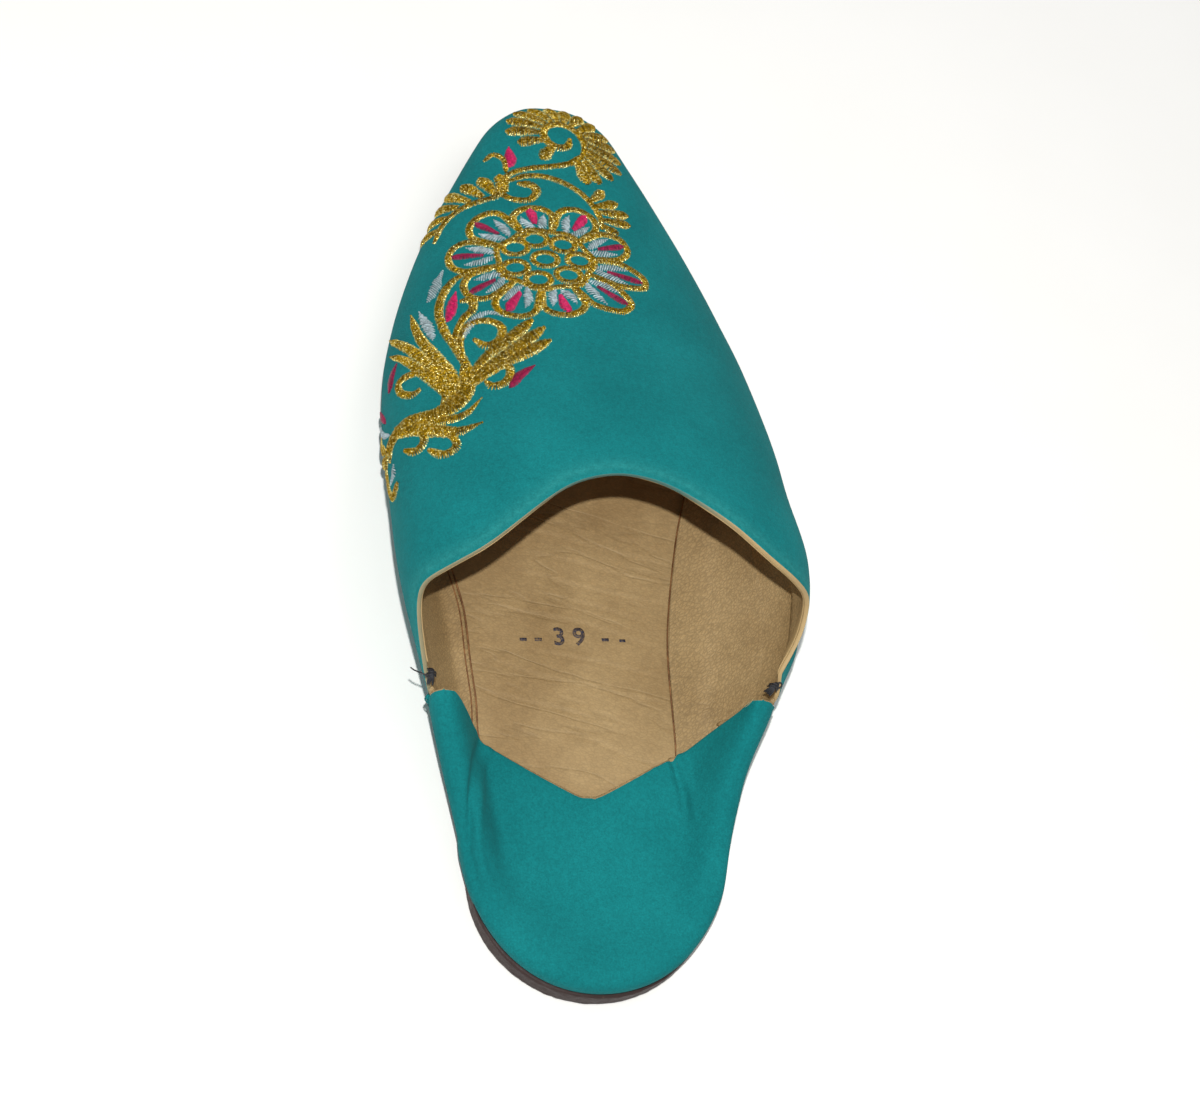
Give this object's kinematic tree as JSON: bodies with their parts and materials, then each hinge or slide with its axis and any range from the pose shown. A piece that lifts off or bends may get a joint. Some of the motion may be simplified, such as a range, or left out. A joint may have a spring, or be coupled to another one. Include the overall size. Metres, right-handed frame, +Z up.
{
  "type": "babouche slipper",
  "caption": "Backless pointed slipper in turquoise suede with gold embroidery, a high rounded throat and the heel quarter folded flat over the insole.",
  "frame": {"origin": "on the floor under the middle of the slipper's length and width", "axes": "+Y to the toe, +X to the wearer's right, +Z up; the sole stands on z = 0"},
  "size_m": [0.1136, 0.278, 0.0666],
  "materials": {
    "sole_leather": "dark brown sole leather, satin",
    "tan_leather": "tan lining leather, matt pebbled grain",
    "suede": "turquoise suede, matt nap"
  },
  "bodies": {
    "root": {"outsole": "sole_leather", "insole": "tan_leather", "upper": "suede", "heel_quarter": "suede"}
  },
  "joints": []
}
